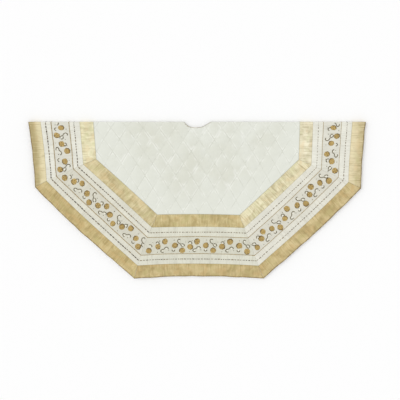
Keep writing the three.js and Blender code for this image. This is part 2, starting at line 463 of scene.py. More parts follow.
# ------------------------------------------------------------------ planar meshes with cut outlines
def chaikin(p, n=2):
    for _ in range(n):
        q = [p[0]]
        for a, b in zip(p[:-1], p[1:]):
            q += [a * 0.75 + b * 0.25, a * 0.25 + b * 0.75]
        q.append(p[-1])
        p = np.array(q)
    return p


CREEP = 0.0024           # how far the lower half's opening lies from the upper half's


def grown(outline, margin, creep=0.0):
    """The trunk opening's edge moved into the fabric by margin, and toward the fold by creep."""
    out = []
    for i in range(len(outline)):
        a, b = outline[max(i - 1, 0)], outline[min(i + 1, len(outline) - 1)]
        t = (b - a) / np.linalg.norm(b - a)
        nrm = np.array([-t[1], t[0]])
        out.append(outline[i] + nrm * margin)
    out = np.array(out)
    out[:, 1] = np.maximum(out[:, 1], 0)
    out[0], out[-1] = [outline[0][0] - margin, 0], [outline[-1][0] + margin * 1.2, 0]
    if creep:
        p = out - [0, creep]
        kept = np.nonzero(p[:, 1] > 1e-6)[0]
        ends = []
        for i, j in ((kept[0] - 1, kept[0]), (kept[-1], kept[-1] + 1)):
            a, b = p[i], p[j]
            ends.append([a[0] - (b[0] - a[0]) * a[1] / (b[1] - a[1]), 0.0])
        out = np.array([ends[0], *p[kept], ends[1]])
    return out


OPENING = chaikin(TRUNK, 1)


def planar(side, sub, apothem, margin, slit, opening=True):
    """Flat mesh on the quilting's own diamond grid, cut to a half or a flap. Returns points (u, v) and faces."""
    sign = -1 if side == "front_half" else 1
    bm = bmesh.new()
    step = 1.0 / sub
    lim = apothem + 0.03
    planes = [(math.cos(k * math.pi / 4), math.sin(k * math.pi / 4), apothem) for k in range(8)]
    planes = [p for p in planes if p[1] * sign > -0.1]
    planes.append((0, -sign, 0.0))
    if side == "left_flap":
        planes.append((1, 0, -slit))
    if side == "right_flap":
        planes.append((-1, 0, -slit))
    span = int(math.ceil((lim + SLOPE * lim) / PITCH * sub)) + 2
    idx = np.arange(-span, span + 1)
    ia, ib = np.meshgrid(idx, idx, indexing="ij")
    u, v = quilt_uv(ia * step, ib * step)
    for nu, nv, c in planes:              # points close to a cut go onto it
        dist = u * nu + v * nv - c
        near = np.abs(dist) < 0.0011
        u, v = np.where(near, u - dist * nu, u), np.where(near, v - dist * nv, v)
    ok = np.ones(u.shape, bool)
    for nu, nv, c in planes:
        ok &= u * nu + v * nv - c < 1e-7
    cells = ok[:-1, :-1] | ok[1:, :-1] | ok[:-1, 1:] | ok[1:, 1:]
    n = len(idx)
    i, j = np.nonzero(cells)
    q = i * n + j
    f = np.stack([q, q + n, q + n + 1, q + 1], 1)
    ids, inv = np.unique(f, return_inverse=True)
    vs = [bm.verts.new((x, y, 0)) for x, y in zip(u.ravel()[ids], v.ravel()[ids])]
    for a, b, c, d in inv.reshape(-1, 4):
        face = bm.faces.new((vs[a], vs[b], vs[c], vs[d]))
    bm.normal_update()
    if sum(f.normal.z for f in bm.faces) < 0:
        bmesh.ops.reverse_faces(bm, faces=bm.faces[:])
    for nu, nv, c in planes:
        bmesh.ops.bisect_plane(bm, geom=bm.verts[:] + bm.edges[:] + bm.faces[:], dist=1e-6,
                               plane_co=(nu * c, nv * c, 0), plane_no=(nu, nv, 0), clear_outer=True)
    poly = grown(OPENING, margin, 0.0 if side == "front_half" else CREEP) * [1, sign]
    if opening:
        reach = 0.10
        for a, b in zip(poly[:-1], poly[1:]):
            t = (b - a) / np.linalg.norm(b - a)
            nrm = np.array([-t[1], t[0]]) * sign
            geom = [f for f in bm.faces if abs(f.calc_center_median().x) < reach and abs(f.calc_center_median().y) < 0.05]
            es = list({e for f in geom for e in f.edges})
            vv = list({x for f in geom for x in f.verts})
            for x in vv:
                dd = (x.co.x - a[0]) * nrm[0] + (x.co.y - a[1]) * nrm[1]
                along = (x.co.x - a[0]) * t[0] + (x.co.y - a[1]) * t[1]
                if abs(dd) < 0.0008 and abs(x.co.y) > 1e-6 and 0 < along < np.linalg.norm(b - a):
                    x.co.x -= dd * nrm[0]
                    x.co.y -= dd * nrm[1]
            bmesh.ops.bisect_plane(bm, geom=vv + es + geom, dist=1e-6, plane_co=(a[0], a[1], 0), plane_no=(nrm[0], nrm[1], 0))
        inside = []
        for f in bm.faces:
            c = f.calc_center_median()
            if abs(c.x) < reach and abs(c.y) < 0.05:
                ins = True
                for a, b in zip(poly[:-1], poly[1:]):
                    t = b - a
                    nrm = np.array([-t[1], t[0]]) * sign
                    if (c.x - a[0]) * nrm[0] + (c.y - a[1]) * nrm[1] > 1e-9:
                        ins = False
                        break
                if ins:
                    inside.append(f)
        bmesh.ops.delete(bm, geom=inside, context="FACES")
    loose = [x for x in bm.verts if not x.link_faces]
    bmesh.ops.delete(bm, geom=loose, context="VERTS")
    bmesh.ops.remove_doubles(bm, verts=bm.verts[:], dist=2e-5)
    tiny = [f for f in bm.faces if f.calc_area() < 1e-10]
    bmesh.ops.delete(bm, geom=tiny, context="FACES")
    bm.verts.index_update()
    uv = np.array([(x.co.x, x.co.y) for x in bm.verts])
    faces = [[x.index for x in f.verts] for f in bm.faces]
    bm.free()
    return uv, faces


def extend(uvw, faces, edges, moves, w_of):
    """Adds rows of faces outward from boundary edges. moves[j] gives each edge vertex its (u, v) offset in row j, w_of its height."""
    verts = sorted({a for e in edges for a in e})
    pos = {a: i for i, a in enumerate(verts)}
    prev = {a: a for a in verts}
    base = uvw[verts]
    out = [uvw]
    n = len(uvw)
    for j, m in enumerate(moves):
        off = m(base) if callable(m) else m
        new = np.c_[base[:, :2] + off, w_of(j, base)]
        out.append(new)
        now = {a: n + pos[a] for a in verts}
        faces = faces + [[prev[a], now[a], now[b], prev[b]] for a, b in edges]
        prev = now
        n += len(verts)
    return np.concatenate(out), faces


def finish_outline(uvw, faces, body, seam_at, roll_seam, roll_hem, w_seam=SEAM_W, w_hem=HEM_W):
    """Wraps a flap's face round the fold, then rolls every other edge down."""
    front = body == "front_half"
    if not front:
        edges = [(a, b) for a, b in boundary_edges(faces) if abs(uvw[a, 1]) < 1e-7 and abs(uvw[b, 1]) < 1e-7]
        rows = np.linspace(0, WRAP, 13)[1:]
        uvw, faces = extend(uvw, faces, edges, [np.array([0, -x]) for x in rows], lambda j, b: b[:, 2])
    end = 0.0 if front else -WRAP
    edges = [(a, b) for a, b in boundary_edges(faces) if not (abs(uvw[a, 1] - end) < 1e-7 and abs(uvw[b, 1] - end) < 1e-7)]
    verts = sorted({a for e in edges for a in e})
    pos = {a: i for i, a in enumerate(verts)}
    normal = [[] for _ in verts]
    kind = np.zeros(len(verts))          # 1 where it is a seam of the octagon
    for a, b in edges:
        t = uvw[b, :2] - uvw[a, :2]
        t = t / max(np.linalg.norm(t), 1e-9)
        nn = np.array([t[1], -t[0]])
        mid = (uvw[a, :2] + uvw[b, :2]) / 2
        r = max(mid[0] * math.cos(k * math.pi / 4) + mid[1] * math.sin(k * math.pi / 4) for k in range(8))
        if mid[1] < 0 < 1 and not front:
            r = abs(mid[0])
        seam = r > seam_at - 0.0004
        for x in (a, b):
            normal[pos[x]].append(nn)
            kind[pos[x]] += 1 if seam else -10
    direction = np.zeros((len(verts), 2))
    for i, ns in enumerate(normal):
        m = np.mean(ns, 0)
        l = np.linalg.norm(m)
        direction[i] = m / max(l * l, 0.35)
        p = uvw[verts[i]]
        on_fold = abs(p[1] - end) < 1e-7 or (not front and p[1] < 1e-7)
        if on_fold:
            direction[i] = [math.copysign(1, direction[i][0]), 0]
    r = np.where(kind > 0, roll_seam, roll_hem)
    wt = np.where(kind > 0, w_seam, w_hem)
    al = np.radians([22, 45, 66, 90])
    moves = [direction * (r * math.sin(a))[:, None] for a in al]
    return extend(uvw, faces, edges, moves, lambda j, b: wt + (b[:, 2] - wt) * math.cos(al[j]))


def line_distance(u, v):
    a, b = quilt_ab(u, v)
    k = PITCH / math.sqrt(1 + SLOPE ** 2)
    da = np.abs(a - np.round(a)) * k
    db = np.abs(b - np.round(b)) * k
    return np.minimum(da, db)


QUILT_BASE = 0.0034


def center(name, body, slit, mats):
    uv, faces = planar(body, SUB, INNER_IN - GAP - 0.0020, 0.0030, slit)
    w = QUILT_BASE + quilt_h(uv[:, 0], uv[:, 1])
    r = np.maximum.reduce([uv[:, 0] * math.cos(k * math.pi / 4) + uv[:, 1] * math.sin(k * math.pi / 4) for k in range(8)])
    near = smooth((r - (INNER_IN - 0.020)) / 0.017)
    w = w * (1 - near) + np.clip(w, 0.0046, 0.0048) * near
    uvw, faces = finish_outline(np.c_[uv, w], faces, body, INNER_IN - 0.003, 0.0020, 0.0030)
    pu, pv = uvw[:, 0], np.where(uvw[:, 1] < 0, 0 if body != "front_half" else uvw[:, 1], uvw[:, 1])
    a, b = quilt_ab(pu, pv)
    r = np.maximum.reduce([pu * math.cos(k * math.pi / 4) + pv * math.sin(k * math.pi / 4) for k in range(8)])
    return slab(name, body, uvw, faces, CLOTH, {"cloth": np.c_[uvw[:, 0], uvw[:, 1]], "quilt": np.c_[a, b]},
                {"line": line_distance(pu, pv), "edge": np.clip(INNER_IN - r, 0, 1)}, mats)


def face_under(body, u, v):
    """Height of the underside of the face fabric anywhere on a half."""
    rs = np.stack([u * math.cos(k * math.pi / 4) + v * math.sin(k * math.pi / 4) for k in range(8)])
    r = rs.max(0)
    k = rs.argmax(0)
    w = QUILT_BASE + quilt_h(u, v)
    for kk in range(8):
        n, t = axes(kk)
        s, d = u * t[0] + v * t[1], u * n[0] + v * n[1]
        for ring, (d0, d1) in RINGS.items():
            m = (k == kk) & (r >= d0) & (r < d1)
            if m.any():
                w[m] = ring_w(ring, body, kk, s[m], d[m])
    return w - CLOTH


def batting(name, body, slit, mats):
    uv, faces = planar(body, 6, AP - 0.0030, 0.0035, slit)
    top = face_under(body, uv[:, 0], uv[:, 1]) - 0.00025
    e = boundary_edges(faces)
    onb = np.zeros(len(uv), bool)
    onb[[a for x in e for a in x]] = True
    top = np.where(onb, np.minimum(top, 0.0020), top)
    top = np.maximum(top, 0.00135)
    uvw = np.c_[uv, top]
    return slab(name, body, uvw, faces, top - 0.0011, {"cloth": uv}, {}, mats)


def lining(name, body, slit, mats):
    uv, faces = planar(body, 6, AP - 0.0006, 0.0006, slit)
    u, v = uv[:, 0], uv[:, 1]
    w = 0.00078 + 0.0 * u
    g = sum(np.sin(2 * math.pi * (fx * u + fy * v) + ph) for fx, fy, ph in ((9, 3, 1), (-5, 11, 2), (14, -8, 4), (3, 21, 0), (23, 9, 3))) / 5
    dent = 0.00016 * (g + 0.6)
    e = boundary_edges(faces)
    onb = np.zeros(len(uv), bool)
    onb[[a for x in e for a in x]] = True
    dent[onb] = 0
    return slab(name, body, np.c_[uv, w - dent * 0.4], faces, 0.00055 - dent * 0.3, {"cloth": uv}, {}, mats)


# ------------------------------------------------------------------ materials
def srgb(r, g, b):
    c = [x / 255 for x in (r, g, b)]
    return tuple(x / 12.92 if x <= 0.04045 else ((x + 0.055) / 1.055) ** 2.4 for x in c) + (1.0,)


class Nodes:
    def __init__(self, name):
        self.mat = bpy.data.materials.new(name)
        self.mat.use_nodes = True
        self.t = self.mat.node_tree
        self.bsdf = next(n for n in self.t.nodes if n.type == "BSDF_PRINCIPLED")

    def new(self, kind, **props):
        n = self.t.nodes.new(kind)
        for k, v in props.items():
            setattr(n, k, v)
        return n

    def link(self, a, b):
        self.t.links.new(a, b)

    def uv(self, name):
        return self.new("ShaderNodeUVMap", uv_map=name).outputs[0]

    def attr(self, name):
        return self.new("ShaderNodeAttribute", attribute_name=name).outputs["Fac"]

    def mapped(self, vector, scale, loc=(0, 0, 0), rot=0.0):
        m = self.new("ShaderNodeMapping")
        m.inputs["Location"].default_value = loc
        m.inputs["Rotation"].default_value = (0, 0, rot)
        m.inputs["Scale"].default_value = scale
        self.link(vector, m.inputs["Vector"])
        return m.outputs[0]

    def noise(self, vector, scale=1.0, detail=2.0, rough=0.5, distortion=0.0):
        n = self.new("ShaderNodeTexNoise")
        n.inputs["Scale"].default_value = scale
        n.inputs["Detail"].default_value = detail
        n.inputs["Roughness"].default_value = rough
        n.inputs["Distortion"].default_value = distortion
        self.link(vector, n.inputs["Vector"])
        return n.outputs["Fac"]

    def ramp(self, fac, a, b, to0=0.0, to1=1.0, smooth_step=False):
        m = self.new("ShaderNodeMapRange", clamp=True)
        if smooth_step:
            m.interpolation_type = "SMOOTHSTEP"
        m.inputs["From Min"].default_value, m.inputs["From Max"].default_value = a, b
        m.inputs["To Min"].default_value, m.inputs["To Max"].default_value = to0, to1
        self.link(fac, m.inputs["Value"])
        return m.outputs[0]

    def math(self, op, a, b=None):
        m = self.new("ShaderNodeMath", operation=op)
        for i, x in enumerate((a, b)):
            if x is None:
                continue
            if isinstance(x, (int, float)):
                m.inputs[i].default_value = x
            else:
                self.link(x, m.inputs[i])
        return m.outputs[0]

    def mix(self, fac, a, b, blend="MIX"):
        m = self.new("ShaderNodeMix", data_type="RGBA", blend_type=blend)
        for i, x in ((0, fac), (6, a), (7, b)):
            if isinstance(x, (int, float)):
                m.inputs[i].default_value = x
            elif isinstance(x, tuple):
                m.inputs[i].default_value = x
            else:
                self.link(x, m.inputs[i])
        return m.outputs[2]

    def wave(self, vector, direction="X"):
        w = self.new("ShaderNodeTexWave", bands_direction=direction)
        w.inputs["Scale"].default_value = 1.0
        w.inputs["Distortion"].default_value = 0.0
        self.link(vector, w.inputs["Vector"])
        return w.outputs["Fac"]

    def set(self, colour=None, rough=None, height=None, bump=0.3, distance=0.0004, **fixed):
        b = self.bsdf
        if colour is not None:
            if isinstance(colour, tuple):
                b.inputs["Base Color"].default_value = colour
            else:
                self.link(colour, b.inputs["Base Color"])
        if rough is not None:
            if isinstance(rough, (int, float)):
                b.inputs["Roughness"].default_value = rough
            else:
                self.link(rough, b.inputs["Roughness"])
        if height is not None:
            n = self.new("ShaderNodeBump")
            n.inputs["Strength"].default_value = bump
            n.inputs["Distance"].default_value = distance
            self.link(height, n.inputs["Height"])
            self.link(n.outputs[0], b.inputs["Normal"])
        for key, val in fixed.items():
            b.inputs[key.replace("_", " ")].default_value = val
        return self.mat


def weave(m, cloth, pitch):
    """Warp and weft as two crossed waves."""
    k = math.pi / 10 / pitch      # Blender's wave repeats every pi/10 units
    a = m.wave(m.mapped(cloth, (k, k, 1)), "X")
    b = m.wave(m.mapped(cloth, (k, k, 1)), "Y")
    return m.math("MULTIPLY", a, b)


def gold(name, tone, dark, light, hem_line_and_shade=0.0, across=0.0, low=0.42, high=0.474, crease_shade=0.35, streak=1.0):
    """Slubbed satin: soft blotches, with short slubs and creases across the strip. The blotches carry painted sheen and
    painted wrinkle shade, the creases painted shade, the seams painted shade with dirt; across paints shade toward the
    strip's outer side and a painted highlight toward its inner side.
    """
    m = Nodes(name)
    c = m.uv("cloth")
    d = m.new("ShaderNodeSeparateXYZ")
    m.link(c, d.inputs[0])
    soft = m.noise(m.mapped(c, (38, 30, 1)), 1.0, 3, 0.55, 0.5)
    sheen_and_shade_patches = m.noise(m.mapped(c, (10, 22, 1), loc=(7, 3, 0)), 1.0, 2, 0.5, 0.3)
    tint = m.noise(m.mapped(c, (24, 34, 1), loc=(2, 9, 0)), 1.0, 2, 0.5)
    slub = m.noise(m.mapped(c, (190, 12, 1)), 1.0, 4, 0.65)
    fine = m.noise(m.mapped(c, (620, 30, 1)), 1.0, 2, 0.6)
    crease = m.noise(m.mapped(c, (60, 9, 1), rot=0.12), 1.0, 2, 0.5, 0.9)
    warm = (min(1, tone[0] * 1.07), tone[1] * 0.97, tone[2] * 0.90, 1.0)
    cool = (tone[0] * 0.93, tone[1] * 0.99, tone[2] * 0.90, 1.0)
    # Lighter and darker random patches in the satin: painted sheen and painted wrinkle shade.
    k = m.mix(m.ramp(soft, 0.34, 0.50, 1.0, 0.0), tone, tuple(0.3 * x + 0.7 * y for x, y in zip(tone, dark)))
    k = m.mix(m.ramp(soft, 0.52, 0.68), k, light)
    k = m.mix(m.ramp(sheen_and_shade_patches, 0.54, 0.66, 0, 0.75), k, light)
    k = m.mix(m.ramp(sheen_and_shade_patches, 0.46, 0.34, 0, 0.65), k, dark)
    k = m.mix(m.ramp(tint, 0.53, 0.66, 0, 0.7), k, warm)
    k = m.mix(m.ramp(tint, 0.47, 0.34, 0, 0.7), k, cool)
    # Painted light across the strip: painted shade toward its outer side and a painted highlight toward its inner side.
    if across:
        wob = m.math("ADD", d.outputs[1], m.math("MULTIPLY", m.math("SUBTRACT", sheen_and_shade_patches, 0.5), 0.05))
        k = m.mix(m.ramp(wob, low + 0.35 * (high - low), high - 0.004, 0, across, True), k, dark)
        k = m.mix(m.ramp(wob, low + 0.65 * (high - low), low + 0.1 * (high - low), 0, across, True), k, tuple(min(1.0, x * y) for x, y in zip(light[:3], (1.06, 1.08, 1.16))) + (1.0,))
    k = m.mix(m.ramp(slub, 0.54, 0.68, 0, min(1.0, 0.65 * streak)), k, light)
    k = m.mix(m.ramp(slub, 0.46, 0.34, 0, min(1.0, 0.60 * streak)), k, dark)
    # Darker creases: painted shade in the creases.
    k = m.mix(m.ramp(crease, 0.60, 0.70, 0, crease_shade), k, tuple(x * 0.72 for x in dark[:3]) + (1.0,))
    k = m.mix(m.ramp(fine, 0.32, 0.75, 0.0, 0.25), k, dark)
    # Darker along the seams: partly painted seam shade, partly seam dirt.
    seam = m.ramp(m.attr("edge"), 0.0004, 0.0030, 0.30, 0.0, True)
    k = m.mix(seam, k, tuple(x * y for x, y in zip(dark[:3], (0.70, 0.68, 0.55))) + (1.0,))
    # Darker band along the rolled hem, broken into stitches: partly a hem stitch line, partly painted shade of the hem
    # roll.
    if hem_line_and_shade:
        stitch = m.noise(m.mapped(c, (55, 90, 1), loc=(1, 5, 0)), 1.0, 2, 0.6)
        line = m.math("MULTIPLY", m.ramp(d.outputs[1], 0.6800, 0.6822, 0, 1, True), m.ramp(d.outputs[1], 0.6858, 0.6846, 0.75, 1))
        k = m.mix(m.math("MULTIPLY", line, m.ramp(stitch, 0.36, 0.56, 0.35 * hem_line_and_shade, hem_line_and_shade)), k, srgb(120, 96, 52))
    h = m.math("ADD", m.math("MULTIPLY", slub, 1.0), m.math("ADD", m.math("MULTIPLY", fine, 0.35), m.math("MULTIPLY", weave(m, c, 0.0006), 0.12)))
    h = m.math("ADD", h, m.math("MULTIPLY", m.ramp(crease, 0.60, 0.70), -1.2))
    rough = m.ramp(slub, 0.3, 0.7, 0.40, 0.56)
    return m.set(k, rough, h, 0.5, 0.0007, Sheen_Weight=0.25, Sheen_Roughness=0.4, Specular_IOR_Level=0.35)


def ivory(name, tone, dark, light):
    m = Nodes(name)
    c = m.uv("cloth")
    soft = m.noise(m.mapped(c, (18, 24, 1)), 1.0, 3, 0.5)
    slub = m.noise(m.mapped(c, (150, 12, 1)), 1.0, 4, 0.6)
    fine = m.noise(m.mapped(c, (700, 60, 1)), 1.0, 2, 0.6)
    k1 = m.mix(m.ramp(soft, 0.35, 0.65), tone, light)
    k2 = m.mix(m.ramp(slub, 0.50, 0.30, 0, 0.6), k1, dark)
    k3 = m.mix(m.ramp(fine, 0.35, 0.75, 0, 0.2), k2, dark)
    d = m.new("ShaderNodeSeparateXYZ")
    m.link(c, d.inputs[0])
    inner = m.math("MULTIPLY", m.ramp(d.outputs[1], 0.514, 0.520), m.ramp(d.outputs[1], 0.593, 0.587))
    k4 = m.mix(m.math("MULTIPLY", inner, 0.30), k3, dark)
    # Darker along the seams: partly painted seam shade, partly seam dirt.
    seam = m.ramp(m.attr("edge"), 0.0004, 0.0020, 0.16, 0.0)
    k5 = m.mix(seam, k4, tuple(x * 0.70 for x in dark[:3]) + (1.0,))
    h = m.math("ADD", slub, m.math("ADD", m.math("MULTIPLY", fine, 0.35), m.math("MULTIPLY", weave(m, c, 0.0007), 0.15)))
    return m.set(k5, m.ramp(slub, 0.3, 0.7, 0.50, 0.62), h, 0.4, 0.0006, Sheen_Weight=0.2, Sheen_Roughness=0.4, Specular_IOR_Level=0.3)


def quilted(name, tone, dark, light):
    m = Nodes(name)
    c = m.uv("cloth")
    soft = m.noise(m.mapped(c, (7, 7, 1)), 1.0, 3, 0.5)
    fine = m.noise(m.mapped(c, (260, 60, 1)), 1.0, 2, 0.6)
    pucker = m.noise(m.mapped(c, (150, 90, 1)), 1.0, 3, 0.55, 0.4)
    broken = m.noise(m.mapped(c, (30, 24, 1), loc=(4, 8, 0)), 1.0, 2, 0.55)
    painted_sheen = m.noise(m.mapped(c, (19, 15, 1), loc=(9, 2, 0)), 1.0, 2, 0.5)
    line = m.attr("line")
    near = m.ramp(line, 0.0, 0.0100, 1.0, 0.0, True)
    k = m.mix(m.ramp(soft, 0.35, 0.65), tone, light)
    k = m.mix(m.ramp(fine, 0.40, 0.75, 0, 0.14), k, dark)
    # Painted shade: darker puckers close to the stitch lines.
    k = m.mix(m.math("MULTIPLY", m.ramp(pucker, 0.46, 0.66), m.math("MULTIPLY", near, 0.22)), k, dark)
    # Painted sheen: lighter patches within about 12 mm of the stitch lines.
    k = m.mix(m.math("MULTIPLY", m.ramp(painted_sheen, 0.52, 0.66), m.ramp(line, 0.0120, 0.0030, 0.0, 0.45, True)), k, srgb(240, 241, 234))
    k = m.mix(m.ramp(m.attr("edge"), 0.17, 0.03, 0.0, 0.75, True), k, light)
    # Painted shade in the stitch channels: a broken darker line along each stitch line.
    k = m.mix(m.math("MULTIPLY", m.ramp(line, 0.0003, 0.0024, 1.0, 0.0, True), m.ramp(broken, 0.42, 0.60, 0.03, 0.42)), k, dark)
    # Painted highlight: light streaks on the ridges beside the stitch lines.
    streak = m.noise(m.mapped(c, (24, 34, 1), loc=(1, 6, 0), rot=0.5), 1.0, 2, 0.55)
    beside_line_highlight = m.math("MULTIPLY", m.ramp(line, 0.0012, 0.0030), m.ramp(line, 0.0072, 0.0046))
    k = m.mix(m.math("MULTIPLY", beside_line_highlight, m.ramp(streak, 0.50, 0.62, 0.0, 0.55)), k, srgb(241, 242, 234))
    # Darker at the quilt's border seam: partly painted seam shade, partly seam dirt.
    seam = m.ramp(m.attr("edge"), 0.0012, 0.0034, 0.30, 0.0)
    k = m.mix(seam, k, tuple(x * 0.6 for x in dark[:3]) + (1.0,))
    h = m.math("ADD", m.math("MULTIPLY", pucker, m.math("ADD", m.math("MULTIPLY", near, 1.2), 0.25)),
               m.math("ADD", m.math("MULTIPLY", fine, 0.25), m.math("MULTIPLY", weave(m, c, 0.0006), 0.12)))
    return m.set(k, m.ramp(fine, 0.3, 0.7, 0.42, 0.54), h, 0.45, 0.0006, Sheen_Weight=0.15, Sheen_Roughness=0.4, Specular_IOR_Level=0.35)


def thread(name, tone, dark, light, spec=0.45, rough=0.38, metal=0.0):
    """Wound or laid thread: 'thread' UV runs along (x) and across (y) the strands."""
    m = Nodes(name)
    c = m.uv("thread")
    strand = m.noise(m.mapped(c, (1.2, 22, 1)), 1.0, 2, 0.6)
    patch = m.noise(m.mapped(c, (0.5, 1.1, 1), loc=(3, 5, 0)), 1.0, 2, 0.5)
    tw = m.wave(m.mapped(c, (0.6, 3.0, 1), rot=0.5), "Y")
    k1 = m.mix(m.ramp(patch, 0.38, 0.62), tone, light)
    k2 = m.mix(m.ramp(strand, 0.46, 0.72, 0, 0.6), k1, dark)
    # The shade attribute darkens toward dark; on the rosettes it carries painted shade and painted highlights.
    k3 = m.mix(m.attr("shade"), k2, dark)
    h = m.math("ADD", strand, m.math("MULTIPLY", tw, 0.3))
    return m.set(k3, m.ramp(strand, 0.3, 0.7, rough - 0.08, rough + 0.08), h, 0.6, 0.0004,
                 Metallic=metal, Sheen_Weight=0.15, Specular_IOR_Level=spec)


def plain_cloth(name, tone, dark, pitch=0.0008, rough=0.7):
    m = Nodes(name)
    c = m.uv("cloth")
    soft = m.noise(m.mapped(c, (9, 9, 1)), 1.0, 3, 0.5)
    slub = m.noise(m.mapped(c, (300, 14, 1)), 1.0, 3, 0.6)
    slub2 = m.noise(m.mapped(c, (14, 300, 1)), 1.0, 3, 0.6)
    wv = weave(m, c, pitch)
    k1 = m.mix(m.ramp(soft, 0.3, 0.7, 0, 0.35), tone, dark)
    k2 = m.mix(m.ramp(slub, 0.52, 0.75, 0, 0.4), k1, dark)
    k3 = m.mix(m.ramp(slub2, 0.52, 0.75, 0, 0.4), k2, dark)
    k4 = m.mix(m.ramp(wv, 0.2, 0.9, 0.25, 0.0), k3, dark)
    h = m.math("ADD", m.math("MULTIPLY", wv, 0.5), m.math("ADD", m.math("MULTIPLY", slub, 0.5), m.math("MULTIPLY", slub2, 0.5)))
    return m.set(k4, m.ramp(soft, 0.3, 0.7, rough - 0.06, rough + 0.06), h, 0.5, 0.0004, Sheen_Weight=0.1, Specular_IOR_Level=0.25)


def fluffy(name, tone, dark, scale=420):
    m = Nodes(name)
    c = m.uv("cloth")
    fibre = m.noise(m.mapped(c, (scale, scale * 0.4, 1)), 1.0, 5, 0.7, 1.2)
    clump = m.noise(m.mapped(c, (60, 60, 1)), 1.0, 3, 0.6)
    k1 = m.mix(m.ramp(fibre, 0.35, 0.7, 0.6, 0.0), tone, dark)
    k2 = m.mix(m.ramp(clump, 0.35, 0.7, 0.3, 0.0), k1, dark)
    return m.set(k2, m.ramp(clump, 0.3, 0.7, 0.88, 0.98), fibre, 0.8, 0.0008, Sheen_Weight=0.3, Specular_IOR_Level=0.1)


# Per-side colours of the gold satin and the ivory band: lit and shaded copies of one cloth each. The differences
# between the sides are painted light, the sheen and shade of each side, not dye.
GOLD_TONES_LIT_PER_SIDE = {
    ("outer_border", 4): (204, 190, 145), ("outer_border", 0): (212, 198, 156),
    ("outer_border", 5): (196, 177, 125), ("outer_border", 7): (197, 178, 128), ("outer_border", 6): (193, 174, 124),
    ("inner_border", 4): (221, 213, 175), ("inner_border", 0): (227, 219, 188),
    ("inner_border", 5): (207, 193, 149), ("inner_border", 7): (219, 210, 173), ("inner_border", 6): (198, 181, 131),
}
BAND_TONES_LIT_PER_SIDE = {4: (228, 227, 215), 5: (222, 220, 205), 6: (220, 219, 203), 7: (226, 224, 211), 0: (229, 228, 216)}


def shade(c, f):
    return srgb(*[min(255, x * f) for x in c])


MATS = {}


# Each side gets its own copy of the material, so its per-side tone and its shading across the strip are painted light.
def ring_material(ring, k):
    kk = {1: 7, 2: 6, 3: 5}.get(k, k)
    key = (ring, kk)
    if key not in MATS:
        if ring == "embroidered_band":
            c = BAND_TONES_LIT_PER_SIDE[kk]
            MATS[key] = ivory(f"ivory_slub_lit_per_side_{kk}", shade(c, 0.985), shade((c[0], c[1] - 2, c[2] - 6), 0.88), shade(c, 1.03))
        else:
            c = GOLD_TONES_LIT_PER_SIDE[key]
            outer = ring == "outer_border"
            MATS[key] = gold(f"gold_satin_{ring}_{kk}", shade(c, 1.012), shade((c[0] - 2, c[1] - 7, c[2] - 18), 0.85), shade((c[0], c[1] + 2, c[2] + 8), 1.115),
                             hem_line_and_shade=0.85 if outer else 0.0, across={4: 0.95, 0: 0.55}.get(kk, 0.0) if outer else 0.0,
                             low=RINGS[ring][0], high=RINGS[ring][1], crease_shade=0.55 if (ring, kk) in (("inner_border", 0), ("inner_border", 7), ("inner_border", 4)) else 0.30,
                             streak=1.5 if (ring, kk) in (("inner_border", 0), ("inner_border", 7)) else 1.1)
    return MATS[key]


QUILT_MAT = quilted("ivory_quilted_satin", srgb(218, 219, 206), srgb(194, 196, 183), srgb(226, 228, 218))
LINING_MAT = plain_cloth("cream_lining", srgb(231, 226, 211), srgb(206, 199, 180))
UNDERLAP_MAT = plain_cloth("ivory_underlap", srgb(229, 227, 214), srgb(205, 202, 186), 0.0007, 0.62)
BATT_MAT = fluffy("batting_fill", srgb(243, 243, 238), srgb(214, 214, 206))
LOOP_MAT = fluffy("loop_tape", srgb(236, 232, 220), srgb(196, 190, 172), 900)
HOOK_MAT = fluffy("hook_tape", srgb(228, 224, 210), srgb(186, 180, 160), 700)
ROSE_MAT = thread("gold_rosette_thread", srgb(194, 160, 88), srgb(92, 68, 20), srgb(219, 191, 118))
SCROLL_MAT = thread("olive_gold_thread", srgb(112, 96, 42), srgb(62, 50, 16), srgb(152, 136, 76))
# Near-white domes inside the scroll curls stand in for bright highlights: painted highlights.
HIGHLIGHT_DOME_MAT = thread("pale_highlight_thread", srgb(252, 247, 229), srgb(226, 216, 182), srgb(255, 253, 243), 0.5, 0.3)
COUCH_MAT = thread("tan_couching_thread", srgb(162, 136, 80), srgb(104, 82, 38), srgb(198, 174, 120))
BEAD_MAT = thread("bronze_dash_thread", srgb(100, 76, 38), srgb(50, 36, 14), srgb(152, 126, 80))
STITCH_MAT = thread("ivory_sewing_thread", srgb(226, 226, 213), srgb(190, 190, 175), srgb(238, 238, 228), 0.3, 0.5)

# ------------------------------------------------------------------ soft pieces
log("materials made")
SIDES = {
    "front_half": [(4, "left_end", "fold", "mitre"), (5, "front_left", "mitre", "mitre"), (6, "front", "mitre", "mitre"),
                   (7, "front_right", "mitre", "mitre"), (0, "right_end", "mitre", "fold")],
    "left_flap": [(4, "left_end", "mitre", "wrap"), (3, "back_left", "mitre", "mitre"), (2, "back", FACING, "mitre")],
    "right_flap": [(0, "right_end", "wrap", "mitre"), (1, "back_right", "mitre", "mitre"), (2, "back", "mitre", -GAP)],
}
BODIES = list(SIDES)


def attach(ob, body, wrap=False):
    if wrap:
        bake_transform(ob)
    else:
        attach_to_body(ob, body)


for body, sides in SIDES.items():
    for ring in RINGS:
        for k, where, lo_end, hi_end in sides:
            node = f"{ring}_{where}_of_{body}"
            ob = strip(f"{node}_cloth", body, ring, k, (lo_end, hi_end), [ring_material(ring, k)])
            attach(ob, body, "wrap" in (lo_end, hi_end))
            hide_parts(node)
log("strips built")

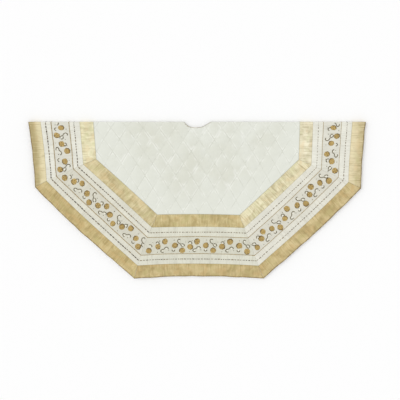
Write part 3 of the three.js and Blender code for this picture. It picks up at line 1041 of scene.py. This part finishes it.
SLIT = {"front_half": 0.0, "left_flap": FACING, "right_flap": GAP}
for body in BODIES:
    node = f"quilted_center_of_{body}"
    slit = {"front_half": 0.0, "left_flap": FACING + 0.0003 + 0.003, "right_flap": GAP + 0.003}[body]
    ob = center(f"{node}_cloth", body, slit, [QUILT_MAT])
    attach(ob, body, body != "front_half")
    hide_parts(node)
log("centres built")
for body in BODIES:
    ob = batting(f"batting_layer_of_{body}", body, {"front_half": 0, "left_flap": 0.003, "right_flap": 0.003}[body], [BATT_MAT])
    attach(ob, body)
    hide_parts(f"batting_of_{body}")
    ob = lining(f"lining_cloth_of_{body}", body, {"front_half": 0, "left_flap": GAP, "right_flap": GAP}[body], [LINING_MAT])
    attach(ob, body)
    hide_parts(f"lining_of_{body}")
log("batting and linings built")


# ------------------------------------------------------------------ thread work
class Bag:
    """Collects many small closed meshes into one piece."""

    def __init__(self):
        self.v, self.f, self.uv, self.sh, self.n = [], [], [], [], 0

    def add(self, v, f, uv, sh):
        self.v.append(v)
        self.f += [[i + self.n for i in x] for x in f]
        self.uv.append(uv)
        self.sh.append(sh)
        self.n += len(v)

    def build(self, name, mats):
        return to_object(name, np.concatenate(self.v), self.f, {"thread": np.concatenate(self.uv)},
                         {"shade": np.concatenate(self.sh)}, mats, sharp=60)


def tube(bag, pts, up, radius, flat=0.8, sides=6, shade_=0.0, seed=0.0):
    """A closed cord along pts. radius may vary; flat squashes it along up."""
    n = len(pts)
    tan = np.gradient(pts, axis=0)
    tan /= np.linalg.norm(tan, axis=1)[:, None]
    side = np.cross(tan, up)
    side /= np.linalg.norm(side, axis=1)[:, None]
    upp = np.cross(side, tan)
    r = np.broadcast_to(np.asarray(radius, float), (n,))
    a = np.arange(sides) / sides * 2 * math.pi
    ring = side[:, None] * np.cos(a)[None, :, None] + upp[:, None] * (flat * np.sin(a))[None, :, None]
    v = (pts[:, None] + ring * r[:, None, None]).reshape(-1, 3)
    f = []
    for i in range(n - 1):
        for j in range(sides):
            p, q = i * sides + j, i * sides + (j + 1) % sides
            f.append([p, q, q + sides, p + sides])
    f.append(list(range(sides))[::-1])
    f.append([(n - 1) * sides + j for j in range(sides)])
    length = np.concatenate([[0], np.cumsum(np.linalg.norm(np.diff(pts, axis=0), axis=1))])
    uv = np.stack([np.repeat(length / 0.004 + seed, sides), np.tile(np.arange(sides) / sides, n)], 1)
    bag.add(v, f, uv, np.full(len(v), shade_) if np.isscalar(shade_) else np.repeat(shade_, sides))


def on_band(body, k, s, e, h):
    """World points of strip points: s along, e outward from the band's middle line, h above the cloth."""
    n, t = axes(k)
    s, e, h = np.broadcast_arrays(np.asarray(s, float), np.asarray(e, float), np.asarray(h, float))
    d = 0.55375 + e
    u, v = n[0] * d + t[0] * s, n[1] * d + t[1] * s
    if body == "front_half":
        v = np.minimum(v, 0)
        flat = s
    else:
        flat = np.where(v < 0, 0, s) if k in (0, 4) else s
    w = ring_w("embroidered_band", body, k, flat, d) + h
    return place(body, u, v, w)


def up_of(body, n):
    return np.tile([0, 0, 1.0 if body == "front_half" else -1.0], (n, 1))


def curve_through(p, per=5):
    p = np.asarray(p, float)
    q = np.r_[[2 * p[0] - p[1]], p, [2 * p[-1] - p[-2]]]
    out = []
    for i in range(1, len(q) - 2):
        for t in np.arange(per) / per:
            out.append(0.5 * (2 * q[i] + (q[i + 1] - q[i - 1]) * t + (2 * q[i - 1] - 5 * q[i] + 4 * q[i + 1] - q[i + 2]) * t * t
                              + (3 * q[i] - q[i - 1] - 3 * q[i + 1] + q[i + 2]) * t ** 3))
    out.append(q[-2])
    return np.array(out)


NOMINAL = [(-213, 20), (-174.5, 4), (-145, -17), (-104, 0), (-70, 21), (-35.5, 5.5), (-6, -16.5), (33, 1), (67, 21), (105, 4),
           (136, -17), (179, -1), (211, 20)]
MEASURED = {
    4: [(29.8, -3.1), (67.4, 18.2), (107.3, 2.0), (138.2, -18.0), (183.7, -3.9), (216.9, 18.4)],
    5: [(-214.9, 16.2), (-176.6, 1.5), (-146.5, -16.2), (-103.7, 0.9), (-71.4, 21.4), (-35.1, 5.6), (-5.8, -16.2), (28.6, -0.4),
        (63.8, 19.0), (101.9, 2.7), (135.2, -17.2), (180.1, -0.9), (211.2, 17.6)],
    6: [(-209.2, 19.7), (-169.6, 4.2), (-139.7, -17.2), (-96.5, 0.6), (-66.1, 22.1), (-31.0, 6.9), (-2.3, -15.8), (35.9, 1.2),
        (67.4, 22.0), (105.7, 4.4), (138.4, -17.1), (178.5, -1.1), (212.2, 22.0)],
    7: [(-212.5, 18.6), (-174.4, 2.5), (-149.2, -15.4), (-112.0, 0.6), (-81.9, 20.6), (-41.0, 5.5), (-6.6, -18.1), (35.9, 0.6),
        (68.7, 21.0), (106.4, 4.0), (132.5, -14.9), (172.0, -0.9), (205.2, 19.1)],
    0: [(-218.3, 21.1), (-179.1, 5.7), (-148.2, -15.9), (-101.4, -0.4), (-68.9, 20.7), (-28.7, 5.2)],
}
# where each repeat of the scrolls starts along a side, at the rosette nearest the inner edge
ANCHORS = {4: [138.2, -2.5], 5: [-146.5, -5.8, 135.2, -287.0], 6: [-139.7, -2.3, 138.4, -280.0], 7: [-149.2, -6.6, 132.5, -290.0], 0: [-148.2, -8.5, -289.0]}
FLAP_ANCHORS = [-145.0, -6.0, 136.0, -287.0]      # the back half uses the nominal repeat on every side
SCROLLS = [      # (along, outward) in mm from that rosette, outward from the band's middle line
    [(101.7, -11.8), (104.2, -15.7), (108.7, -17.2), (113.0, -15.3), (115.8, -9.8), (115.2, -5.5)],
    [(-5.5, 28.2), (-12.5, 28.0), (-17.5, 24.0), (-16.0, 18.8), (-10.0, 16.0), (-4.8, 15.2), (-1.5, 12.2), (1.3, 8.3), (7.3, 6.0), (13.0, 8.2), (15.4, 13.2)],
    [(30.6, 18.7), (32.6, 23.0), (37.0, 25.4), (41.5, 23.4), (43.3, 19.4)],
    [(66.4, -24.0), (60.5, -26.2), (55.7, -21.3), (56.1, -14.2), (61.0, -9.1), (67.0, -6.4), (69.6, -0.5), (73.5, 5.2), (80.5, 7.8)],
    [(71.6, -6.8), (78.1, -6.4), (83.8, -2.0), (83.3, 3.6)],
]
DRIFT = {4: (0.0020, 0.0), 5: (0.0085, -0.0010), 0: (0.0050, 0.0)}      # the front half's repeats, as they lie
HIGHLIGHT_DOMES = [(108.7, -10.0), (-9.8, 23.0), (6.8, 12.8), (37.1, 20.0), (60.9, -19.0), (76.8, -0.5)]
DOTS = [(39.8, -22.6), (88.6, -14.2), (16.3, 20.0), (106.5, 27.5), (118.0, -20.0)]


COUCH_WEIGHT = {(4, True): 1.15, (5, True): 1.1, (6, True): 0.95, (7, True): 0.8, (0, True): 0.6,
                (4, False): 1.1, (5, False): 1.1, (6, False): 0.9, (7, False): 0.8, (0, False): 0.65}
DASH_WEIGHT = {(4, True): 1.2, (5, True): 1.65, (6, True): 1.0, (7, True): 0.85, (0, True): 0.8,
               (4, False): 0.95, (5, False): 1.15, (6, False): 0.85, (7, False): 0.78, (0, False): 0.6}


def limits(body, k, lo_end, hi_end, d):
    lo = {"mitre": -d * TAN, "fold": 0.0, "wrap": -WRAP}.get(lo_end, lo_end) if isinstance(lo_end, str) else lo_end
    hi = {"mitre": d * TAN, "fold": 0.0, "wrap": WRAP}.get(hi_end, hi_end) if isinstance(hi_end, str) else hi_end
    return lo, hi


def rosette(bag, body, k, s, e, r):
    R = 0.0132 * r.uniform(0.94, 1.06)
    petals = 8
    seg = petals * 6
    th = np.arange(seg) / seg * 2 * math.pi
    ph = r.uniform(0, 2 * math.pi)
    rings = np.array([0.0, 0.10, 0.20, 0.33, 0.48, 0.63, 0.77, 0.89, 0.97, 1.0])
    lobe = np.abs(np.cos(petals * th / 2 + ph)) ** 0.6
    each = r.uniform(0.93, 1.05, petals)
    petal = np.floor((petals * th / 2 + ph + math.pi / 2) / math.pi).astype(int) % petals
    outline = R * (0.87 + 0.14 * lobe + 0.03 * np.sin(2 * th + ph * 2)) * each[petal]
    rad = rings[:, None] * outline[None]
    height = (0.0014 * np.sqrt(np.clip(1 - rings[:, None] ** 3.2, 0, 1)) * (0.72 + 0.28 * lobe[None] * np.clip(rings[:, None] * 3, 0, 1))
              + 0.0007 * np.exp(-(rings[:, None] / 0.16) ** 2) - 0.0004 * np.exp(-((rings[:, None] - 0.30) / 0.09) ** 2))
    height[-1] = -0.0004
    ss, ee = s + rad * np.cos(th)[None], e + rad * np.sin(th)[None]
    top = on_band(body, k, ss.ravel(), ee.ravel(), 0 * ss.ravel())
    base = on_band(body, k, [s], [e], 0.0)[0, 2]
    sgn = 1 if body == "front_half" else -1
    top[:, 2] = 0.35 * top[:, 2] + 0.65 * base + sgn * height.ravel()
    nr = len(rings)
    f = []
    for i in range(nr - 1):
        for j in range(seg):
            a, b = i * seg + j, i * seg + (j + 1) % seg
            if i == 0:
                f.append([a, b + seg, a + seg][::1])
            else:
                f.append([a, b, b + seg, a + seg])
    # centre ring is one point: merge it
    v = np.r_[top[seg:], [top[0]]]
    c = len(v) - 1
    ff = []
    for x in f:
        y = [(c if i < seg else i - seg) for i in x]
        if len(set(y)) == len(y):
            ff.append(y[::-1])
    last = (nr - 2) * seg
    ff.append([last + j for j in range(seg)])
    # Painted light, carried in the shade attribute: a painted shadow along one side of the rim, painted shade in the
    # notches between the petals and in the groove near the centre, and on some rosettes a painted star of highlight
    # rays. The tone and the per-petal jitter are random.
    tone = r.uniform(0.0, 0.22)
    side = r.uniform(0, 2 * math.pi)
    star_highlight = r.random() < 0.45
    shadow_side_rim = smooth((rings[:, None] - 0.52) / 0.42) * (0.20 + 0.95 * smooth(0.15 + np.cos(th - side))[None])
    dark = tone + 0.75 * shadow_side_rim + 0.45 * (1 - lobe[None]) * np.clip(rings[:, None] * 2 - 0.3, 0, 1) + 0.30 * np.exp(-((rings[:, None] - 0.32) / 0.09) ** 2)
    dark = dark + r.uniform(-0.16, 0.16, (len(rings), petals))[:, petal]
    if star_highlight:
        ray = np.exp(-((1 - np.abs(np.cos(2 * th + ph))) / 0.10) ** 2)[None]
        dark = dark - 0.5 * ray * (rings[:, None] < 0.8) + 0.18 * (1 - ray) * (rings[:, None] < 0.7)
    dark = np.clip(dark, 0, 1)
    uv = np.stack([np.broadcast_to(rings[:, None] * 3 + r.uniform(0, 50), dark.shape).ravel(),
                   np.broadcast_to((th / (2 * math.pi) * petals)[None] + r.uniform(0, 50), dark.shape).ravel()], 1)
    d = dark.ravel()
    if sgn < 0 and False:
        ff = [x[::-1] for x in ff]
    bag.add(v, ff, np.r_[uv[seg:], [uv[0]]], np.r_[d[seg:], [d[0]]])


for body, sides in SIDES.items():
    r = np.random.default_rng({"front_half": 21, "left_flap": 22, "right_flap": 23}[body])
    roses, scrolls, highlight_domes, couch, beads = Bag(), Bag(), Bag(), Bag(), Bag()
    for k, where, lo_end, hi_end in sides:
        # rosettes
        table = MEASURED[k] if body == "front_half" else NOMINAL
        for s, e in table:
            s, e = s / 1000, e / 1000
            lo, hi = limits(body, k, lo_end, hi_end, 0.55375 + e)
            if not isinstance(lo_end, str) or lo_end in ("wrap", "fold"):
                lo = (lo if not isinstance(lo_end, str) else 0) + 0.010
            if not isinstance(hi_end, str) or hi_end in ("wrap", "fold"):
                hi = (hi if not isinstance(hi_end, str) else 0) - 0.010
            if lo + 0.004 < s < hi - 0.004:
                rosette(roses, body, k, s, e, r)
        # scrolls, the near-white domes inside their curls as painted highlights, and dots
        for a0 in ANCHORS[k] if body == "front_half" else FLAP_ANCHORS:
            jog = r.uniform(-0.0010, 0.0010, 2) + DRIFT.get(k if body == "front_half" else None, (0, 0))

            def inside(x, y, gap):
                lo, hi = limits(body, k, lo_end, hi_end, 0.55375 + y)
                lo, hi = (0.0 if lo_end == "wrap" else lo), (0.0 if hi_end == "wrap" else hi)
                return (x > lo + gap) & (x < hi - gap) & (np.abs(y) < 0.0345)

            for line in SCROLLS:
                p = curve_through(line, 5) / 1000
                p = p + [a0 / 1000, 0] + jog + r.uniform(-0.0005, 0.0005, 2)
                ok = inside(p[:, 0], p[:, 1], 0.0035)
                if ok.sum() < 5:
                    continue
                cuts = np.nonzero(np.diff(ok.astype(int)))[0]
                p = p[ok] if len(cuts) < 2 else p[:cuts[0] + 1]
                if len(p) < 5:
                    continue
                q = np.arange(len(p))
                taper = 0.00134 * (0.78 + 0.42 * np.abs(np.sin(q * 0.9 + r.uniform(0, 3))))
                taper[[0, -1]] = 0.0016
                pts = on_band(body, k, p[:, 0], p[:, 1], 0.0006)
                tube(scrolls, pts, up_of(body, len(p)), taper, 0.8, 6, 0.15 + 0.75 * np.abs(np.sin(q * 0.55 + r.uniform(0, 3))), r.uniform(0, 99))
            for x, y in HIGHLIGHT_DOMES:
                x, y = x / 1000 + a0 / 1000 + jog[0], y / 1000 + jog[1]
                if inside(x, y, 0.0050):
                    q = np.linspace(-1, 1, 7)
                    size = r.uniform(0.0022, 0.0029)
                    pts = on_band(body, k, x + q * size, y + 0 * q, 0.0003)
                    tube(highlight_domes, pts, up_of(body, 7), size * np.sqrt(1.03 - q * q), 0.42, 8, 0.0, r.uniform(0, 99))
            for x, y in DOTS:
                x, y = x / 1000 + a0 / 1000 + r.uniform(-0.001, 0.001), y / 1000
                if inside(x, y, 0.005):
                    q = np.linspace(-1, 1, 5)
                    size = r.uniform(0.0011, 0.0019)
                    pts = on_band(body, k, x + q * size, y + 0 * q, 0.0006)
                    tube(scrolls, pts, up_of(body, 5), size * np.sqrt(1.04 - q * q), 0.7, 6, r.uniform(0.2, 0.9), r.uniform(0, 99))
        # couched lines at the two sides of the embroidery, dashes beyond them
        kk = {1: 7, 2: 6, 3: 5}.get(k, k)
        for d, kind in ((0.5905, "couch"), (0.5170, "couch"), (0.6130, "bead"), (0.4970, "bead")):
            lo, hi = limits(body, k, lo_end, hi_end, d)
            n = max(3, int((hi - lo) / 0.0045))
            s = np.linspace(lo, hi, n + 1)
            wob = 0.0006 * np.interp(s, np.linspace(lo - 0.01, hi + 0.01, max(4, int((hi - lo) / 0.03))), r.uniform(-1, 1, max(4, int((hi - lo) / 0.03))))
            if kind == "couch":
                pts = on_band(body, k, s, d - 0.55375 + wob, 0.0004)
                up = up_of(body, len(s))
                if "wrap" in (lo_end, hi_end):
                    c = pts - np.array([0, YF, AXIS_Z])
                    wrapped = (s < 0) if lo_end == "wrap" else (s > 0)
                    up[wrapped] = np.stack([0 * c[wrapped, 0], c[wrapped, 1] * 4, c[wrapped, 2]], 1)
                    up /= np.linalg.norm(up, axis=1)[:, None]
                rad = 0.00125 * COUCH_WEIGHT[(kk, d > 0.55)] * (1 + 0.12 * np.sin(np.arange(len(s)) * 1.9))
                tube(couch, pts, up, rad, 0.85, 6, 0.15 + 0.2 * np.abs(np.sin(np.arange(len(s)) * 0.9)), r.uniform(0, 99))
            else:
                x = lo + 0.002
                while x < hi - 0.004:
                    big = DASH_WEIGHT[(kk, d > 0.55)]
                    L = r.uniform(0.0040, 0.0110) * (0.7 + 0.5 * big)
                    L = min(L, hi - 0.001 - x)
                    q = np.linspace(0, 1, 6)
                    ss = x + q * L
                    pts = on_band(body, k, ss, d - 0.55375 + np.interp(ss, s, wob) + r.uniform(-0.0002, 0.0002), 0.0005)
                    up = up_of(body, 6)
                    c = pts - np.array([0, YF, AXIS_Z])
                    over = c[:, 1] > 0
                    if over.any():
                        up[over] = np.stack([0 * c[over, 0], c[over, 1] * 4, c[over, 2]], 1)
                        up /= np.linalg.norm(up, axis=1)[:, None]
                    tube(beads, pts, up, 0.00165 * min(1.25, big) * r.uniform(0.65, 1.15) * np.sqrt(1.06 - (2 * q - 1) ** 2), 0.8, 6, r.uniform(0, 1.0 if big > 0.9 else 0.5), r.uniform(0, 99))
                    x += L + r.uniform(0.0012, 0.0040) / big
    wrap = body != "front_half"
    for bag, name, mat in ((roses, "rosettes", ROSE_MAT), (scrolls, "scrolls", SCROLL_MAT), (highlight_domes, "highlight_domes", HIGHLIGHT_DOME_MAT), (couch, "couched_lines", COUCH_MAT), (beads, "dashed_lines", BEAD_MAT)):
        ob = bag.build(f"embroidered_{name}_of_{body}", [mat])
        attach(ob, body, wrap and name in ("couched_lines", "dashed_lines"))
log("embroidery built")

# quilting stitches
for body in BODIES:
    bag = Bag()
    sign = -1 if body == "front_half" else 1
    r = np.random.default_rng(31 + len(body))
    poly = grown(OPENING, 0.004)
    for fam in (0, 1):
        for i in range(-14, 15):
            pts = []
            # v as the parameter along the line
            v = np.arange(0.0015, INNER_IN - 0.001, 0.0046 / math.sqrt(1 + SLOPE ** 2)) * sign
            u = (i * PITCH + 0.013 - SLOPE * v) if fam == 0 else (i * PITCH + 0.047 + SLOPE * v)
            rr = np.maximum.reduce([u * math.cos(k * math.pi / 4) + v * math.sin(k * math.pi / 4) for k in range(8)])
            ok = rr < INNER_IN - 0.004
            inside = (np.abs(v) < np.interp(u, poly[:, 0], poly[:, 1], left=-1, right=-1))
            ok &= ~inside
            if body == "left_flap":
                ok &= u < -FACING - 0.006
            if body == "right_flap":
                ok &= u > 0.006
            dv = sign * 0.0031 / 2 / math.sqrt(1 + SLOPE ** 2)
            du = -SLOPE * dv if fam == 0 else SLOPE * dv
            for uu, vv in zip(u[ok], v[ok]):
                q = np.linspace(-1, 1, 3)
                U, V = uu + q * du, vv + q * dv
                w = QUILT_BASE + quilt_h(U, V) + 0.0001 - 0.0002 * q * q
                p = place(body, U, V, w)
                tube(bag, p, up_of(body, 3), 0.00034 * np.array([0.55, 1.0, 0.55]), 0.9, 4, 0.1, r.uniform(0, 99))
    ob = bag.build(f"quilting_stitches_of_{body}", [STITCH_MAT])
    attach(ob, body)
log("stitches built")

# ------------------------------------------------------------------ closure
u0, u1, v0, v1 = -0.0320, -0.0002, 0.0307, 0.6855
offs_u = np.array(spaced(u1 - u0, 0.0028, True, True)) + u0
offs_v = np.array(spaced(v1 - v0, 0.0055, True, True)) + v0
V, U = np.meshgrid(offs_v, offs_u, indexing="ij")
ru = np.random.default_rng(8)
rip = sum(np.sin(2 * math.pi * (V / p + U * 7 + ru.random())) for p in (0.11, 0.063, 0.19)) / 3
x = np.minimum(np.minimum(U - u0, u1 - U), np.minimum(V - v0, v1 - V))
hemf = smooth((0.0065 - x) / 0.0012)
w = 0.00500 + 0.00012 * rip - 0.00025 * (1 - hemf) - 0.0003 * (1 - rounded(x, 0.0010)) - 0.00022 * np.exp(-((x - 0.0072) / 0.0006) ** 2)
M = len(offs_u)
i, j = np.meshgrid(np.arange(len(offs_v) - 1), np.arange(M - 1), indexing="ij")
q = (i * M + j).ravel()
faces = np.stack([q, q + 1, q + M + 1, q + M], 1).tolist()
ob = slab("slit_underlap_cloth", "left_flap", np.c_[U.ravel(), V.ravel(), w.ravel()], faces, 0.00062,
          {"cloth": np.c_[U.ravel(), V.ravel()]}, {}, [UNDERLAP_MAT])
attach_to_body(ob, "left_flap")
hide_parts("slit_underlap_of_left_flap")

patch_stitches = {"left_flap": Bag(), "right_flap": Bag()}
for where, vc in (("near_trunk", 0.110), ("middle", 0.330), ("near_edge", 0.590)):
    for kind, body, uc, wt, wb, mat in (("loop", "left_flap", -0.016, 0.0058, 0.0053, LOOP_MAT), ("hook", "right_flap", 0.016, -0.0003, -0.0013, HOOK_MAT)):
        h = 0.0125
        n = 46
        a = np.linspace(-1, 1, n + 1)
        X, Y = np.meshgrid(a, a, indexing="ij")
        # a square with rounded corners
        rr = np.maximum(np.abs(X), np.abs(Y))
        ang = np.arctan2(Y, X)
        sq = (np.abs(np.cos(ang)) ** 7 + np.abs(np.sin(ang)) ** 7) ** (-1 / 7)
        X2, Y2 = rr * sq * np.cos(ang) * h, rr * sq * np.sin(ang) * h
        rp = np.random.default_rng(40 + int(vc * 1000) + (kind == "hook"))
        if kind == "loop":
            pile = rp.random(X.shape) * 0.00022 + 0.00010 * (np.sin(X * 60) * np.sin(Y * 60))
            bump = np.where(rr < 0.86, pile, 0.0)
            top, thick = wt - 0.0002 + bump, wt - 0.0002 + bump - wb
        else:
            hooks = np.where((np.round((X + 1) * n / 2).astype(int) % 2 == 0) & (np.round((Y + 1) * n / 2).astype(int) % 2 == 0), 0.00045, 0.0)
            bump = np.where(rr < 0.86, hooks, 0.0)
            top, thick = np.full(X.shape, wt), (wt - wb) - 0.00045 + bump
        drop = 0.0002 * (1 - rounded(1 - rr, 0.06))
        Mp = n + 1
        i, j = np.meshgrid(np.arange(n), np.arange(n), indexing="ij")
        q = (i * Mp + j).ravel()
        faces = np.stack([q, q + Mp, q + Mp + 1, q + 1], 1).tolist()
        ob = slab(f"{kind}_tape_{where}", body, np.c_[(uc + X2).ravel(), (vc + Y2).ravel(), (top - drop).ravel()], faces, (thick - drop).ravel(),
                  {"cloth": np.c_[(uc + X2).ravel(), (vc + Y2).ravel()]}, {}, [mat])
        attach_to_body(ob, body)
        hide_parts(f"{kind}_patch_{where}")
        bag = patch_stitches[body]
        for side in range(4):
            for st in np.arange(-0.0105, 0.0106, 0.0026):
                qq = np.linspace(-1, 1, 3) * 0.0009
                p = {0: (st + qq, 0 * qq - 0.0113), 1: (st + qq, 0 * qq + 0.0113), 2: (0 * qq - 0.0113, st + qq), 3: (0 * qq + 0.0113, st + qq)}[side]
                wz = wt - 0.0001 if kind == "loop" else wt - 0.0007
                pts = place(body, uc + p[0], vc + p[1], np.full(3, wz))
                tube(bag, pts, up_of(body, 3), 0.00028 * np.array([0.6, 1, 0.6]), 0.9, 4, 0.2, 0.0)
for body, bag in patch_stitches.items():
    ob = bag.build(f"closure_stitches_of_{body}", [STITCH_MAT])
    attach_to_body(ob, body)
log("closure built")

# ------------------------------------------------------------------ floor, light, camera
me = bpy.data.meshes.new("floor")
S = 6.0
me.from_pydata([(-S, -S, -0.0019), (S, -S, -0.0019), (S, S, -0.0019), (-S, S, -0.0019)], [], [[0, 1, 2, 3]])
floor = bpy.data.objects.new("floor", me)
bpy.context.scene.collection.objects.link(floor)
fm = Nodes("floor_white")
me.materials.append(fm.set(srgb(250, 250, 250), 0.9, Specular_IOR_Level=0.1))
floor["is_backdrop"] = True

world = bpy.data.worlds.new("studio")
bpy.context.scene.world = world
world.use_nodes = True
bg = next(n for n in world.node_tree.nodes if n.type == "BACKGROUND")
bg.inputs[0].default_value = (1, 1, 1, 1)
bg.inputs[1].default_value = 0.84


def sun(name, loc, strength, soft):
    ld = bpy.data.lights.new(name, "SUN")
    ld.energy, ld.angle = strength, math.radians(soft)
    ob = bpy.data.objects.new(name, ld)
    bpy.context.scene.collection.objects.link(ob)
    ob.rotation_euler = (-Vector(loc)).to_track_quat("-Z", "Y").to_euler()
    return ob


sun("key", (-1.0, 0.75, 1.5), 0.80, 40)

cam = bpy.data.cameras.new("camera")
cam.lens, cam.sensor_width, cam.sensor_fit = 54.0, 36.0, "AUTO"
cam.clip_start, cam.clip_end = 0.05, 50
camera = bpy.data.objects.new("camera", cam)
bpy.context.scene.collection.objects.link(camera)
camera.location = (0.04716710, 0.74206003, 2.44663794)
camera.rotation_euler = (-0.29215030, 0.01421010, -0.00228157)
bpy.context.scene.camera = camera
bpy.context.scene.view_settings.view_transform = "Standard"
bpy.context.scene.view_settings.look = "None"

lo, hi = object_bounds()
log("done")
